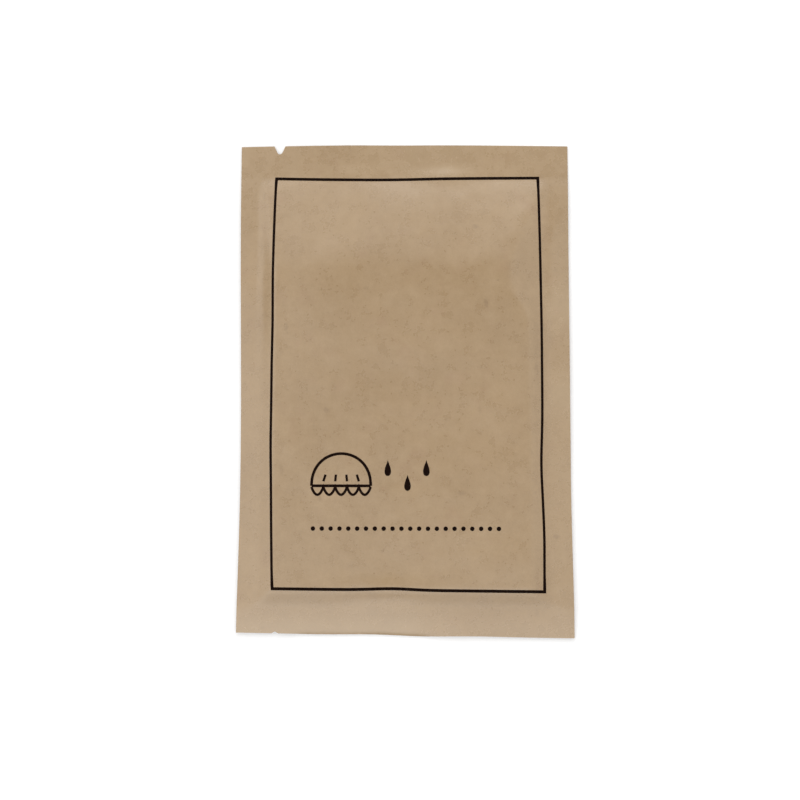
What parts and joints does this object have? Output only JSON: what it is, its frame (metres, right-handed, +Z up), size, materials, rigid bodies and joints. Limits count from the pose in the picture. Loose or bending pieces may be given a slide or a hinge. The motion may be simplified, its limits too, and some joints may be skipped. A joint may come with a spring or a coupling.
{
  "type": "shower cap sachet",
  "caption": "Flat heat-sealed kraft paper sachet with a tear notch and printed line border, holding a folded shower cap that slides out once the side strip is torn off.",
  "frame": {"origin": "on the table, under the middle of the sachet's outline", "axes": "+Z up out of the printed front, +Y to the notched top edge, +X to the right edge, with the tear strip on the -X side"},
  "size_m": [0.075, 0.111, 0.0028],
  "materials": {
    "kraft_paper": "matt uncoated kraft with fibre flecks",
    "seal_film": "thin clear heat-seal film over kraft",
    "ink": "matt black print",
    "cap_film": "crinkled translucent film",
    "elastic": "white woven elastic"
  },
  "bodies": {
    "sachet": {"front_panel": "kraft_paper", "back_panel": "kraft_paper", "front_liner": "seal_film", "back_liner": "seal_film", "right_seal": "seal_film", "top_seal": "seal_film", "bottom_seal": "seal_film", "printed_border": "ink"},
    "cap": {"cap_film": "cap_film", "elastic_band": "elastic"},
    "tear_strip": {"strip_front_panel": "kraft_paper", "strip_back_panel": "kraft_paper", "strip_front_liner": "seal_film", "strip_back_liner": "seal_film", "left_seal": "seal_film", "strip_top_seal": "seal_film", "strip_bottom_seal": "seal_film", "strip_printed_border": "ink"}
  },
  "joints": [
    {"name": "cap_slide", "type": "slide", "parent": "sachet", "child": "cap", "axis": [-1, 0, 0], "range_m": [0, 0.06]},
    {"name": "strip_tear", "type": "slide", "parent": "cap", "child": "tear_strip", "axis": [-1, 0, 0], "range_m": [0, 0.03]}
  ]
}
